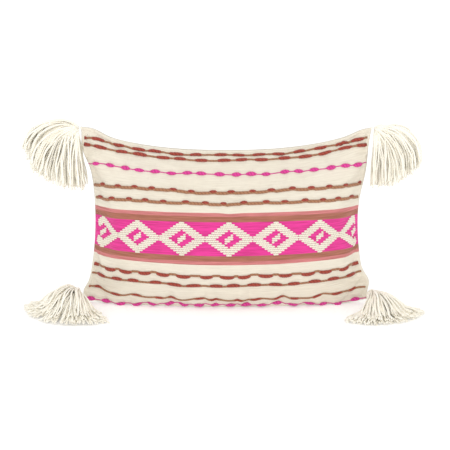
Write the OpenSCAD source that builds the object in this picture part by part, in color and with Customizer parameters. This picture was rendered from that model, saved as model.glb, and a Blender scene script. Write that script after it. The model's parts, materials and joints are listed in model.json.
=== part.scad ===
// Lumbar throw pillow: a handwoven cotton cover over a fibre-filled insert, closed by a coil zip
// across the back, with thick slub yarns and a diamond brocade woven into the front and a yarn
// tassel swinging from each corner.
// It stands on its long bottom edge: +X runs along its width, +Y towards its back and +Z up.
// The origin is in the seam, at the middle of the flat on which the pillow rests.

/* [Cover] */
// Width of the cover laid flat
cover_w = 508; // [400:1:620]
// Height of the cover laid flat
cover_h = 305; // [250:1:370]
// Thickness of the filled pillow at its middle
pillow_t = 122; // [100:1:150]
// Thickness of the woven cover cloth
cloth_t = 1.6; // [1:0.1:2.4]
// How far each side pulls in between its corners
side_pull = 21; // [10:1:30]
// How far the top edge dips between its corners
top_dip = 38; // [20:1:50]
// How far the filled corners draw in from the flat width
corner_draw = 6.5; // [3:0.5:12]
// Height of the bottom corners above the rest face
corner_lift = 7; // [5:0.5:12]
// How far back the top edge stands from the bottom edge
lean_back = 20; // [0:1:26]

/* [Insert] */
// Space between the cover and the insert, which the zip slider's inner wing needs
insert_gap = 2.4; // [2.2:0.1:4]
// Thickness of the insert's cotton casing
casing_t = 0.8; // [0.5:0.1:1.2]

/* [Zip] */
// Height of the zip above the rest face
zip_z = 48; // [44:1:60]
// Share of the half width that the zip reaches
zip_reach = 0.77; // [0.6:0.01:0.8]
// Half height of the opening that the zip shows in
zip_opening = 3.4; // [3.4:0.1:5]
// Width of each zip tape
tape_w = 12; // [9:0.5:13]
// Thickness of the zip tape
tape_t = 0.6; // [0.4:0.1:0.7]
// Radius of each coil
coil_r = 1.05; // [0.9:0.05:1.1]
// Length of the zip slider
slider_l = 8; // [7:0.5:10]
// Length of the pull tab from its hinge
pull_l = 24; // [18:1:32]

/* [Slub yarns] */
// Half width of a thick place in a rust yarn
rust_r = 3.4; // [2.5:0.1:4]
// Half width of a thick place in a pink yarn
pink_r = 3.8; // [2.5:0.1:4.5]
// Half width of the thin brown yarn
brown_r = 2.2; // [1.5:0.1:3]
// Distance between thick places along a rust yarn
rust_pitch = 34; // [28:1:44]
// Distance between thick places along a pink yarn
pink_pitch = 27.5; // [24:0.5:36]

/* [Diamonds] */
// Distance between diamonds along the band
diamond_pitch = 80; // [64:1:96]
// Height of each diamond
diamond_h = 50; // [36:1:54]
// Width of the cream line that draws each diamond
diamond_line = 11; // [8:1:14]
// Thickness of the raised brocade yarn
brocade_t = 1; // [0.6:0.1:1.6]

/* [Tassels] */
// Length of the cord loop between corner and tassel
loop_l = 4; // [3:0.5:9]
// Radius of the cord loop
loop_r = 1.6; // [1.2:0.1:2.2]
// Radius of the tassel head
head_r = 7; // [6:0.5:10]
// Radius of the neck under the wrapped yarn
neck_r = 5; // [4:0.5:5.5]
// Thickness of the yarn wrapped around the neck
wrap_t = 1.6; // [1:0.1:2.2]
// Drop of the hanging tassels from their corners
hang_drop = 102; // [80:1:120]
// Reach of the lying tassels along the floor from their corners
lie_reach = 128; // [100:1:150]
// Half the spread of the yarn ends
skirt_spread = 54; // [36:1:62]
// Half the thickness of the skirts
skirt_depth = 22; // [16:1:28]

/* [Hidden] */

// Yarn and cloth colours
cream = "#e5deca";
tassel_cream = "#e6e1cf";
rust = "#a4483c";
tan_yarn = "#a06a54";
pink = "#e0479a";
steel = "#b8b8b8";

FRONT = -1;
BACK = 1;
LEFT = -1;
RIGHT = 1;

seam_shrink = 3;       // the filled side seam stands this much shorter than the flat cover
bottom_sag = 24;       // the filled bottom would hang this far below its corners; the floor flattens it
swell_power = 0.6;     // lower is boxier, higher is more pointed at the seams
seam_gap = 0.3;        // between the front and back halves along the seam
base_overcut = 1;      // the cover is shaped this far below the rest face, then cut flat on it
thread_r = 0.35;

half_w = cover_w / 2;
half_h = (cover_h - seam_shrink) / 2;
corner_x = half_w - corner_draw;
mid_z = corner_lift + half_h;
top_z = corner_lift + 2 * half_h;
insert_depth = cloth_t + insert_gap;
fill_depth = insert_depth + casing_t + 0.3;

// ---- The filled shape: u runs -1..1 across the width and v runs -1..1 up the height ----

function limited(low, value, high) = max(low, min(high, value));
function unit(v) = v / norm(v);

function edge_x(v) = corner_x - side_pull * (1 - v * v);
function cloth_x(u, v) = half_w * u - (half_w - edge_x(v)) * pow(u, 3);
function dip(u, v) = top_dip * (1 - pow(abs(u), 2.4)) * pow(v, 2.2);
function lower_rise(u) = half_h + bottom_sag * (1 - u * u);
function cloth_z(u, v) = mid_z + (v > 0 ? half_h * v - dip(u, v) : lower_rise(u) * v);
function v_at_height(u, z) = (z - mid_z) / lower_rise(u);
function swell(u, v) = pow(max(0, (1 - u * u) * (1 - v * v)), swell_power);
function lean(z) = lean_back * max(0, z) / top_z;

// Height of the surface that lies depth inside the cover's outside; the floor flattens it
function height(u, v, depth) =
    max(mid_z + (cloth_z(u, v) - mid_z) * (1 - depth / half_h), depth > 0 ? depth : -base_overcut);

function free_y(u, v, depth, z) = seam_gap / 2 + (pillow_t / 2 - depth) * swell(u, v) + lean(z);

// The zip lies on a cone about a vertical axis, so that its slider can follow one true arc.
zip_end_x = cloth_x(zip_reach, v_at_height(zip_reach, zip_z));
zip_mid_y = free_y(0, v_at_height(0, zip_z), 0, zip_z);
zip_sag = zip_mid_y - free_y(zip_reach, v_at_height(zip_reach, zip_z), 0, zip_z);
zip_arc_r = (zip_end_x * zip_end_x + zip_sag * zip_sag) / (2 * zip_sag);
zip_centre_y = zip_mid_y - zip_arc_r;
zip_half_angle = asin(zip_end_x / zip_arc_r);
zip_slope = (free_y(0, v_at_height(0, zip_z + 6), 0, zip_z + 6)
    - free_y(0, v_at_height(0, zip_z - 6), 0, zip_z - 6)) / 12;
zip_tilt = atan(zip_slope);
zip_flat_band = tape_w + 3;   // height on each side of the zip over which the cloth follows the cone
zip_fade = 24;                // and the further height over which it comes back to the free shape

function cone_y(x, z, depth) =
    zip_centre_y
    + sqrt(pow(zip_arc_r + zip_slope * (z - zip_z) - depth / cos(zip_tilt), 2) - x * x);
function zip_pull_in(u, z) =
    limited(0, (zip_flat_band + zip_fade - abs(z - zip_z)) / zip_fade, 1)
    * limited(0, (0.95 - abs(u)) / (0.93 - zip_reach), 1);

function shape_point(u, v, side, depth) =
    let (x = cloth_x(u, v) * (1 - depth / half_w))
    let (z = height(u, v, depth))
    let (share = side == BACK ? zip_pull_in(u, z) : 0)
    let (swollen = seam_gap / 2 + (pillow_t / 2 - depth) * swell(u, v))
    [x, share > 0 ? lerp(swollen + lean(z), cone_y(x, z, depth), share) : side * swollen + lean(z), z];

function lerp(a, b, share) = a + (b - a) * share;

// Closer together near the seams, where the surface turns quickly
function eased(s) = lerp(s, sin(90 * s), 0.55);
function steps(n) = [for (i = [-n:n]) eased(i / n)];

// The cover has a column at each end of the zip, and one just past it where the opening has closed
outer_us = [for (i = [0:5]) lerp(zip_reach + 0.02, 1, sin(18 * i))];
cover_us = concat(
    [for (i = [5:-1:0]) -outer_us[i]],
    [for (i = [-9:9]) zip_reach * i / 9],
    outer_us);
cover_vs = steps(9);
insert_us = steps(9);
insert_vs = steps(7);

function grid(us, vs, side, depth) = [for (v = vs) [for (u = us) shape_point(u, v, side, depth)]];

// A closed solid between an outer and an inner grid of the same size
module solid_between(outer, inner, side) {
    rows = len(outer);
    cols = len(outer[0]);
    count = rows * cols;
    quads = concat(
        [for (r = [0:rows - 2], c = [0:cols - 2])
            [r * cols + c, (r + 1) * cols + c, (r + 1) * cols + c + 1, r * cols + c + 1]],
        [for (r = [0:rows - 2], c = [0:cols - 2])
            [for (i = [r * cols + c, r * cols + c + 1, (r + 1) * cols + c + 1, (r + 1) * cols + c])
                count + i]],
        [for (c = [0:cols - 2]) [c, c + 1, count + c + 1, count + c]],
        [for (c = [0:cols - 2]) let (i = (rows - 1) * cols + c) [i, count + i, count + i + 1, i + 1]],
        [for (r = [0:rows - 2]) let (i = r * cols) [i, count + i, count + i + cols, i + cols]],
        [for (r = [0:rows - 2]) let (i = r * cols + cols - 1) [i, i + cols, count + i + cols, count + i]]);
    triangles = [for (q = quads, half = [0, 1]) half == 0 ? [q[0], q[1], q[2]] : [q[0], q[2], q[3]]];
    turned = [for (t = triangles) side == FRONT ? [t[1], t[2], t[0]] : [t[2], t[1], t[0]]];
    points = concat([for (row = outer, p = row) p], [for (row = inner, p = row) p]);
    polyhedron(points, turned, convexity = 6);
}

// Cuts a piece of the cover flat on the rest face
module cut_flat() {
    intersection() {
        children();
        translate([-cover_w, -2 * pillow_t, 0]) cube([2 * cover_w, 4 * pillow_t, 2 * cover_h]);
    }
}

// ---- Cover ----

module front_panel() {
    color(cream) cut_flat()
        solid_between(grid(cover_us, cover_vs, FRONT, 0), grid(cover_us, cover_vs, FRONT, cloth_t), FRONT);
}

// Half height of the opening between the two back panels: the zip's, then only the closed seam's
function opening(u) = abs(u) <= zip_reach ? zip_opening : seam_gap / 2;

// One row of a back panel. The first row is the hem by the zip, the second is where the cloth
// leaves the zip's cone, and the rest go on to the far seam by their shares of the way.
function back_row(i, shares, way, depth) = [for (u = cover_us)
    let (hem = v_at_height(u, zip_z + way * opening(u)))
    let (leave = v_at_height(u, zip_z + way * zip_flat_band))
    shape_point(u, i == 0 ? hem : lerp(leave, way, shares[i - 1]), BACK, depth)];
function back_grid(shares, way, depth) =
    let (last = len(shares))
    [for (i = [0:last]) back_row(way > 0 ? i : last - i, shares, way, depth)];

module back_panel(shares, way) {
    color(cream) solid_between(back_grid(shares, way, 0), back_grid(shares, way, cloth_t), BACK);
}

module back_panel_upper() back_panel([for (i = [0:12]) sin(90 * pow(i / 12, 0.9))], 1);
module back_panel_lower() cut_flat() back_panel([for (i = [0:7]) sin(90 * i / 7)], -1);

// Stitches that cross the seam between two halves, each one a short bar through both edges
module seam_stitches(depth, thickness, stitches) {
    inset = depth + thickness / 2;
    for (i = [1:stitches - 1], edge = [-1, 1]) {
        s = 2 * i / stitches - 1;
        along = shape_point(s, 1, FRONT, inset);
        up = shape_point(edge, s, FRONT, inset);
        if (edge > 0) stitch(along);
        stitch(up);
    }
}

module stitch(p) {
    translate([p[0], lean(p[2]), p[2]]) rotate([90, 0, 0])
        cylinder(h = 2, r = thread_r, center = true, $fn = 16);
}

module perimeter_seam_thread() {
    color(cream) seam_stitches(0, cloth_t, 40);
}

// ---- Insert ----

module insert_half(side) {
    inner = insert_depth + casing_t;
    solid_between(grid(insert_us, insert_vs, side, insert_depth), grid(insert_us, insert_vs, side, inner), side);
}

module insert_front_panel() {
    color("white") insert_half(FRONT);
}

module insert_back_panel() {
    color("white") insert_half(BACK);
}

module insert_seam_thread() {
    color("white") seam_stitches(insert_depth, casing_t, 24);
}

module insert_filling() {
    color("white")
        solid_between(grid(insert_us, insert_vs, FRONT, fill_depth), grid(insert_us, insert_vs, BACK, fill_depth), FRONT);
}

// ---- Zip: local x runs along the zip, y points out of the pillow and z up along the cloth ----

module zip_section(from_angle, to_angle) {
    translate([0, zip_centre_y, zip_z]) rotate([0, 0, 90 + from_angle])
        rotate_extrude(angle = to_angle - from_angle, $fn = 360)
            translate([zip_arc_r, 0]) rotate(-zip_tilt) children();
}

module zip_place(angle) {
    translate([0, zip_centre_y, 0]) rotate([0, 0, angle]) translate([0, zip_arc_r, zip_z])
        rotate([-zip_tilt, 0, 0]) children();
}

tape_face = -(cloth_t + 0.1);      // the tapes' outer faces, just inside the cloth
tape_split = 0.45;                 // half the gap between the tapes, where the slider's post runs
coil_lift = tape_face + 0.05 + coil_r;
coil_offset = tape_split + coil_r;
wing_in = tape_face - tape_t - 0.3;
wing_half = zip_opening - 0.3;
slider_margin = slider_l / zip_arc_r * 180 / PI;
closed_angle = -zip_half_angle + slider_margin;
zip_travel = 2 * (zip_half_angle - slider_margin);
pull_lift = 3.9;                   // height of the pull's hinge above the cloth
pin_r = 0.7;

module zip_tape(up) {
    color(cream) zip_section(-zip_half_angle, zip_half_angle)
        translate([tape_face - tape_t, up > 0 ? tape_split : -tape_w]) square([tape_t, tape_w - tape_split]);
}

module zip_tape_upper() zip_tape(1);
module zip_tape_lower() zip_tape(-1);

module zip_coil(up) {
    color(cream) zip_section(-zip_half_angle + slider_margin / 3, zip_half_angle - slider_margin / 3)
        translate([coil_lift, up * coil_offset]) circle(r = coil_r, $fn = 32);
}

module zip_coil_upper() zip_coil(1);
module zip_coil_lower() zip_coil(-1);

module zip_stitching() {
    color(cream) for (up = [-1, 1]) zip_section(-zip_half_angle + 0.2, zip_half_angle - 0.2)
        translate([thread_r + 0.25, up * (zip_opening + 2.6)]) circle(r = thread_r, $fn = 16);
}

module zip_stop(angle) {
    color(steel) zip_place(angle) translate([0, coil_lift + 0.1, 0])
        cube([1.6, 2 * coil_r, 2 * (coil_offset + coil_r)], center = true);
}

stop_angle = zip_half_angle - slider_margin / 8;
module zip_stop_closed_end() zip_stop(-stop_angle);
module zip_stop_open_end() zip_stop(stop_angle);

module zip_slider() {
    color(steel) zip_place(closed_angle) {
        block([-slider_l / 2, slider_l / 2], [0.75, 1.75], [-wing_half, wing_half]);
        block([-slider_l / 2, slider_l / 2], [wing_in - 0.7, wing_in], [-wing_half, wing_half]);
        block([-2, 2], [wing_in - 0.1, 0.9], [-0.25, 0.25]);
        for (up = [-1, 1]) {
            block([-slider_l / 2, slider_l / 2], [-0.4, 0.9], up > 0 ? [wing_half - 0.3, wing_half]
                : [-wing_half, 0.3 - wing_half]);
            block([-1.4, 1.4], [1.6, pull_lift + 1.1], up > 0 ? [1.75, 2.5] : [-2.5, -1.75]);
        }
        translate([0, pull_lift, 0]) cylinder(h = 4, r = pin_r, center = true, $fn = 32);
    }
}

// A box given by its low and high limit along each axis
module block(xs, ys, zs) {
    translate([xs[0], ys[0], zs[0]]) cube([xs[1] - xs[0], ys[1] - ys[0], zs[1] - zs[0]]);
}

// The tab hangs on the slider's pin and lies along the closed zip
module zip_pull() {
    color(steel) zip_place(closed_angle) translate([0, pull_lift, 0]) difference() {
        union() {
            cylinder(h = 2.9, r = 1.9, center = true, $fn = 32);
            block([0, 8], [-0.6, 0.6], [-1.45, 1.45]);
            rotate([90, 0, 0]) linear_extrude(1.2, center = true) difference() {
                union() {
                    translate([7, -3]) square([pull_l - 11, 6]);
                    translate([7, 0]) circle(r = 3, $fn = 48);
                    translate([pull_l - 4, 0]) circle(r = 4, $fn = 48);
                }
                translate([pull_l - 4, 0]) circle(r = 1.6, $fn = 32);
            }
        }
        cylinder(h = 10, r = pin_r + 0.25, center = true, $fn = 32);
    }
}

// ---- Slub yarns and brocade, laid on the front ----

function front(u, v) = shape_point(u, v, FRONT, 0);
function front_normal(u, v) =
    unit(cross(front(u + 0.01, v) - front(u - 0.01, v), front(u, v + 0.01) - front(u, v - 0.01)));

yarn_sides = 6;
yarn_end = 0.965;   // share of the half width where a yarn turns into the side seam
cloth_clear = 0.4;
floor_gap = 8;      // no yarn's middle comes closer than this to the rest face
rings_per_pitch = 4;

// A tube along the front at height v, swollen wherever the yarn was left untwisted
module slub_yarn(v, thick_r, thin_r, pitch) {
    pieces = round(cover_w / pitch * rings_per_pitch);
    us = [for (i = [0:pieces]) yarn_end * (2 * i / pieces - 1)];
    function r_at(i) = lerp(thin_r, thick_r, pow(sin(90 * (i + 1) * 2 / rings_per_pitch), 2));
    function v_at(i) = max(v, v_at_height(us[i], floor_gap));
    function centre(i) = front(us[i], v_at(i)) + front_normal(us[i], v_at(i)) * (0.6 * r_at(i) + cloth_clear);
    rings = [for (i = [0:pieces])
        let (n = front_normal(us[i], v_at(i)))
        let (t = unit(centre(min(pieces, i + 1)) - centre(max(0, i - 1))))
        let (b = unit(cross(t, n)))
        [for (k = [0:yarn_sides - 1]) let (a = 360 * k / yarn_sides)
            centre(i) + n * (0.6 * r_at(i) * cos(a)) + b * (r_at(i) * sin(a))]];
    loft(rings);
}

// A closed solid through a row of rings, each a list of the same number of points
module loft(rings) {
    m = len(rings);
    n = len(rings[0]);
    sides = [for (i = [0:m - 2], k = [0:n - 1]) let (j = (k + 1) % n) each
        [[i * n + k, i * n + j, (i + 1) * n + j], [i * n + k, (i + 1) * n + j, (i + 1) * n + k]]];
    ends = [for (k = [1:n - 2]) each
        [[0, k + 1, k], [(m - 1) * n, (m - 1) * n + k, (m - 1) * n + k + 1]]];
    polyhedron([for (ring = rings, p = ring) p], concat(sides, ends), convexity = 6);
}

module rust_slub(v) color(rust) slub_yarn(v, rust_r, 1.3, rust_pitch);
module tan_slub(v) color(tan_yarn) slub_yarn(v, rust_r, 2.2, rust_pitch);
module pink_slub(v) color(pink) slub_yarn(v, pink_r, 0.9, pink_pitch);

// Where each yarn lies, as its share of the way from the middle of the cover to its top or bottom
module rust_slub_top_outer() rust_slub(0.962);
module rust_slub_top_inner() rust_slub(0.89);
module pink_slub_upper() pink_slub(0.68);
module tan_slub_upper_outer() tan_slub(0.43);
module tan_slub_upper_inner() tan_slub(0.275);
module rust_slub_lower_inner() rust_slub(-0.52);
module rust_slub_lower_outer() rust_slub(-0.62);
module brown_slub_lower() color(tan_yarn) slub_yarn(-0.8, brown_r, 1.6, rust_pitch);
module pink_slub_lower() pink_slub(-0.935);

band_v = -0.129;          // middle of the diamond band
diamond_shift = 4;        // the pattern's offset from the middle of the cover
straight_most = 13.5;     // no straight piece of a diamond's side runs further across than this
sides_split = ceil(diamond_pitch / 2 / straight_most);
diamond_reach = yarn_end * half_w - diamond_shift;
whole_diamonds = 2 * floor(diamond_reach / diamond_pitch - 0.5) + 1;

// A point of the raised brocade, from flat distances across and up from the band's middle
function brocade_point(across, up, lift) =
    let (u = across / half_w)
    let (v = band_v + up / half_h)
    front(u, v) + front_normal(u, v) * lift;

function diamond_corner(k, w, h) = [[w, 0], [0, h], [-w, 0], [0, -h]][k % 4];
function diamond_edge(i, w, h) =
    let (k = floor(i / sides_split))
    let (s = (i % sides_split) / sides_split)
    lerp(diamond_corner(k, w, h), diamond_corner(k + 1, w, h), s);

// The line of a diamond, as sections between its outer and inner outlines
function diamond_sections(centre, from, to) = [for (i = [from:to])
    let (out = diamond_edge(i, diamond_pitch / 2 - 0.5, diamond_h / 2))
    let (in = diamond_edge(i, diamond_pitch / 2 - 0.5 - 1.7 * diamond_line, diamond_h / 2 - diamond_line))
    [for (corner = [[out, cloth_clear], [in, cloth_clear], [in, cloth_clear + brocade_t],
            [out, cloth_clear + brocade_t]])
        brocade_point(centre + corner[0][0], corner[0][1], corner[1])]];

module diamond(centre) {
    n = 4 * sides_split;
    rings = diamond_sections(centre, 0, n - 1);
    faces = [for (i = [0:n - 1], k = [0:3])
        let (a = i * 4 + k)
        let (b = i * 4 + (k + 1) % 4)
        let (c = ((i + 1) % n) * 4)
        each [[a, c + k, b], [b, c + k, c + (k + 1) % 4]]];
    polyhedron([for (ring = rings, p = ring) p], faces, convexity = 6);
}

// Whether the inner half of a diamond ends before the side seam takes up the cloth
function half_fits(centre) = abs(centre) <= yarn_end * half_w;

// The inner half of a diamond that the side seam cuts through
module half_diamond(centre) {
    first = (centre < 0 ? 3 : 1) * sides_split;
    sections = diamond_sections(centre, first, first + 2 * sides_split);
    loft([for (i = [len(sections) - 1:-1:0]) sections[i]]);
}

// The small lozenge woven in the middle of each diamond
module diamond_heart(centre) {
    w = diamond_line * 0.7;
    corners = [for (k = [0:3]) diamond_corner(k, w, w * 0.75)];
    loft([for (lift = [cloth_clear + brocade_t, cloth_clear])
        [for (c = corners) brocade_point(centre + c[0], c[1], lift)]]);
}

module diamond_brocade() {
    outermost = (whole_diamonds - 1) / 2;
    color(cream) {
        for (i = [-outermost:outermost]) {
            diamond(diamond_shift + i * diamond_pitch);
            diamond_heart(diamond_shift + i * diamond_pitch);
        }
        for (i = [-outermost - 1, outermost + 1])
            if (half_fits(diamond_shift + i * diamond_pitch))
                half_diamond(diamond_shift + i * diamond_pitch);
    }
}

// ---- Tassels ----

function corner_point(side, top) = [side * corner_x, lean(top ? top_z : corner_lift), top ? top_z : corner_lift];

// Each tassel: its corner, the way its head leaves the corner, where the yarn ends lie from that
// corner, how far the yarn runs on before it bends, the spread of its ends and its depth
TL = [corner_point(LEFT, true), unit([-1, 0, 0.03]),
    [-56, 0, -hang_drop], 34, [skirt_spread, skirt_depth]];
TR = [corner_point(RIGHT, true), unit([1, 0, -0.05]),
    [42, 0, -hang_drop], 26, [skirt_spread * 0.82, skirt_depth]];
BL = [corner_point(LEFT, false), unit([-0.28, -0.9, 0.12]),
    [-26, -lie_reach, 11], 40, [skirt_spread + 3, skirt_depth]];
BR = [corner_point(RIGHT, false), unit([0.15, -0.62, 0.62]),
    [20, -lie_reach, 11], 18, [skirt_spread + 6, skirt_depth]];

corner_clear = 0.8;      // between the corner and the loop's ball
loop_end = corner_clear + 2 * loop_r + loop_l;
head_start = loop_end + 0.4;
head_mid = head_start + head_r;
wrap_mid = head_mid + head_r + 1;
wrap_h = 4;
wrap_clear = 1;        // between the wrap and the yarns that spread below it
neck_end = wrap_mid + wrap_h / 2 + wrap_clear;
floor_clear = 0.5;     // the lying skirts stay this far above the rest face

function along(tassel, distance) = tassel[0] + tassel[1] * distance;

// Points local +Z along a direction
module aimed(direction) {
    rotate([0, acos(direction[2]), atan2(direction[1], direction[0])]) children();
}

module tassel_loop(tassel) {
    color(tassel_cream) translate(along(tassel, corner_clear + loop_r)) aimed(tassel[1]) {
        cylinder(h = loop_l, r = loop_r * 0.8, $fn = 32);
        sphere(r = loop_r, $fn = 32);
        translate([0, 0, loop_l]) sphere(r = loop_r, $fn = 32);
    }
}

module tassel_head(tassel) {
    color(tassel_cream) translate(along(tassel, head_mid)) aimed(tassel[1]) {
        sphere(r = head_r, $fn = 48);
        cylinder(h = neck_end - head_mid, r = neck_r, $fn = 48);
    }
}

module tassel_wrap(tassel) {
    ring_inner = neck_r + 0.1;
    color(tassel_cream) translate(along(tassel, wrap_mid)) aimed(tassel[1])
        rotate_extrude($fn = 48) translate([ring_inner, -wrap_h / 2]) square([wrap_t, wrap_h]);
}

function bezier(a, b, c, t) = a * pow(1 - t, 2) + b * 2 * t * (1 - t) + c * t * t;

skirt_rings = 9;
skirt_sides = 14;

// The yarns spread from the neck, bend under their own weight and end in a rounded brush
module tassel_skirt(tassel, lying) {
    start = along(tassel, neck_end + 0.2);
    bend = start + tassel[1] * tassel[3];
    tip = tassel[0] + tassel[2];
    depth_way = lying ? [0, 0, 1] : [0, 1, 0];
    function way(t) = unit((bend - start) * (1 - t) + (tip - bend) * t);
    function fullness(t) = pow(sin(90 * min(1, t * 1.15)), 0.85) * (t < 0.93 ? 1 : 0.94);
    rings = [for (i = [0:skirt_rings])
        let (t = i / skirt_rings)
        let (w = lerp(neck_r, tassel[4][0], fullness(t)))
        let (d = lerp(neck_r, tassel[4][1], fullness(t)))
        let (across = unit(cross(way(t), depth_way)))
        let (deep = unit(cross(across, way(t))))
        [for (k = [0:skirt_sides - 1])
            let (a = 360 * k / skirt_sides)
            let (p = bezier(start, bend, tip, t) + across * (w * cos(a)) + deep * (d * sin(a)))
            [p[0], p[1], lying ? max(p[2], floor_clear) : p[2]]]];
    color(tassel_cream) loft(rings);
}

front_panel();
back_panel_upper();
back_panel_lower();
perimeter_seam_thread();
zip_tape_upper();
zip_tape_lower();
zip_coil_upper();
zip_coil_lower();
zip_stitching();
zip_stop_closed_end();
zip_stop_open_end();
zip_slider();
zip_pull();
insert_front_panel();
insert_back_panel();
insert_seam_thread();
insert_filling();
rust_slub_top_outer();
rust_slub_top_inner();
pink_slub_upper();
tan_slub_upper_outer();
tan_slub_upper_inner();
diamond_brocade();
rust_slub_lower_inner();
rust_slub_lower_outer();
brown_slub_lower();
pink_slub_lower();
tassel_loop(TL);  // tassel_tl_loop
tassel_head(TL);  // tassel_tl_head
tassel_wrap(TL);  // tassel_tl_wrap
tassel_skirt(TL, false);  // tassel_tl_skirt
tassel_loop(TR);  // tassel_tr_loop
tassel_head(TR);  // tassel_tr_head
tassel_wrap(TR);  // tassel_tr_wrap
tassel_skirt(TR, false);  // tassel_tr_skirt
tassel_loop(BL);  // tassel_bl_loop
tassel_head(BL);  // tassel_bl_head
tassel_wrap(BL);  // tassel_bl_wrap
tassel_skirt(BL, true);  // tassel_bl_skirt
tassel_loop(BR);  // tassel_br_loop
tassel_head(BR);  // tassel_br_head
tassel_wrap(BR);  // tassel_br_wrap
tassel_skirt(BR, true);  // tassel_br_skirt
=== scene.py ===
"""Looks of the lumbar throw pillow: handwoven cover, slub yarns, diamond brocade and yarn tassels.

Everything is in metres, in the CAD frame: +X along the width, +Y to the back, +Z up, floor at 0.
The cover is described as in part.scad: u runs -1..1 across it and v runs -1..1 up it.
"""

import json
import math
import random

import bpy
import numpy as np
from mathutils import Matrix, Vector


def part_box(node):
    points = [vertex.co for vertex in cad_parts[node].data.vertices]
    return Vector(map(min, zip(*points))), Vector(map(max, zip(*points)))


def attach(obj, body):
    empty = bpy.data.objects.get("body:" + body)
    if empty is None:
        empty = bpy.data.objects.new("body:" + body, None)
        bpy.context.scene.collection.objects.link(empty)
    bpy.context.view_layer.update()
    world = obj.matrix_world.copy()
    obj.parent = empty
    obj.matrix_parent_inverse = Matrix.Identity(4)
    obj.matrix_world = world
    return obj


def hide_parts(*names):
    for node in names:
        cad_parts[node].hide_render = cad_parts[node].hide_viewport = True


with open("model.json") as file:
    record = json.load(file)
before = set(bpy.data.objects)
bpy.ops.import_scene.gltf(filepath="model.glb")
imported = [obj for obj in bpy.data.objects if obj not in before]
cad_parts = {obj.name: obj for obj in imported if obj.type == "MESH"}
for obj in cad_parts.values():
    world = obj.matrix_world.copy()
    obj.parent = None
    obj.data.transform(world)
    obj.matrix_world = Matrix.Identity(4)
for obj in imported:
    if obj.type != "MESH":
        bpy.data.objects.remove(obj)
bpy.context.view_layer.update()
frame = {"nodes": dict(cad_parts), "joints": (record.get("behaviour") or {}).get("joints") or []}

MM = 0.001
FRONT = -1
BACK = 1

# ---- Driving sizes: the joints give the corners, the rest repeats part.scad ----

joint_at = {joint["name"]: Vector(joint["pos_m"]) for joint in frame["joints"]}
TOP_CORNER = joint_at["tassel_tr_out"]
LOW_CORNER = joint_at["tassel_br_sweep"]
ZIP_AXIS = joint_at["zip_run"]

COVER_W = 508 * MM
PILLOW_T = 122 * MM
CLOTH_T = 1.6 * MM
SIDE_PULL = 21 * MM
TOP_DIP = 38 * MM
BOTTOM_SAG = 24 * MM
SWELL_POWER = 0.6
SEAM_GAP = 0.3 * MM
INSERT_DEPTH = 4 * MM
CASING_T = 0.8 * MM
INSERT_SHARE = 0.975       # of the cover's width and height, before it is sunk to its depth
FILL_DEPTH = INSERT_DEPTH + CASING_T + 0.3 * MM
ZIP_REACH = 0.77
ZIP_OPENING = 3.4 * MM
TAPE_W = 12 * MM

CORNER_X = TOP_CORNER.x
TOP_Z = TOP_CORNER.z
LEAN_BACK = TOP_CORNER.y
HALF_W = COVER_W / 2
HALF_H = (TOP_Z - LOW_CORNER.z) / 2
MID_Z = LOW_CORNER.z + HALF_H
ZIP_Z = ZIP_AXIS.z

DICE = random.Random(7)


# ---- The filled shape ----

def cloth_x(u, v):
    edge = CORNER_X - SIDE_PULL * (1 - v * v)
    return HALF_W * u - (HALF_W - edge) * u ** 3


def cloth_z(u, v):
    dip = TOP_DIP * (1 - np.abs(u) ** 2.4) * np.maximum(v, 0) ** 2.2
    lower = HALF_H + BOTTOM_SAG * (1 - u * u)
    return MID_Z + np.where(v > 0, HALF_H * v - dip, lower * v)


def v_at_height(u, z):
    return (z - MID_Z) / (HALF_H + BOTTOM_SAG * (1 - u * u))


def lean(z):
    return LEAN_BACK * np.maximum(z, 0) / TOP_Z


def swelling(u, v, depth):
    swell = np.maximum(0, (1 - u * u) * (1 - v * v)) ** SWELL_POWER
    return SEAM_GAP / 2 + (PILLOW_T / 2 - depth) * swell


def back_y(u, z):
    return swelling(u, v_at_height(u, z), 0) + lean(z)


# The zip lies on a cone about a vertical axis
zip_end_x = cloth_x(ZIP_REACH, v_at_height(ZIP_REACH, ZIP_Z))
zip_sag = back_y(0, ZIP_Z) - back_y(ZIP_REACH, ZIP_Z)
ZIP_R = (zip_end_x ** 2 + zip_sag ** 2) / (2 * zip_sag)
ZIP_SLOPE = (back_y(0, ZIP_Z + 6 * MM) - back_y(0, ZIP_Z - 6 * MM)) / (12 * MM)
ZIP_HALF_ANGLE = math.asin(zip_end_x / ZIP_R)
ZIP_TILT = math.atan(ZIP_SLOPE)
ZIP_BAND = TAPE_W + 3 * MM
ZIP_FADE = 24 * MM


def cone_y(x, z, depth):
    radius = ZIP_R + ZIP_SLOPE * (z - ZIP_Z) - depth / math.cos(ZIP_TILT)
    return ZIP_AXIS.y + np.sqrt(radius ** 2 - x * x)


def zip_share(u, z):
    near = np.clip((ZIP_BAND + ZIP_FADE - np.abs(z - ZIP_Z)) / ZIP_FADE, 0, 1)
    return near * np.clip((0.95 - np.abs(u)) / (0.93 - ZIP_REACH), 0, 1)


def plain_shape(u, v, side, depth=0.0):
    """Points of the surface that lies depth inside the cover's outside, before it wrinkles."""
    u, v = np.broadcast_arrays(np.asarray(u, float), np.asarray(v, float))
    x = cloth_x(u, v) * (1 - depth / HALF_W)
    z = np.maximum(MID_Z + (cloth_z(u, v) - MID_Z) * (1 - depth / HALF_H), depth)
    out = swelling(u, v, depth)
    y = side * out + lean(z)
    if side == BACK:
        y = y + zip_share(u, z) * (cone_y(x, z, depth) - y)
    return np.stack([x, y, z], axis=-1)


def eased(count, ease=0.55):
    """count + 1 values from -1 to 1, closer together near both ends."""
    s = np.linspace(-1, 1, count + 1)
    return s + ease * (np.sin(s * math.pi / 2) - s)


# ---- Mesh helpers ----

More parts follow.
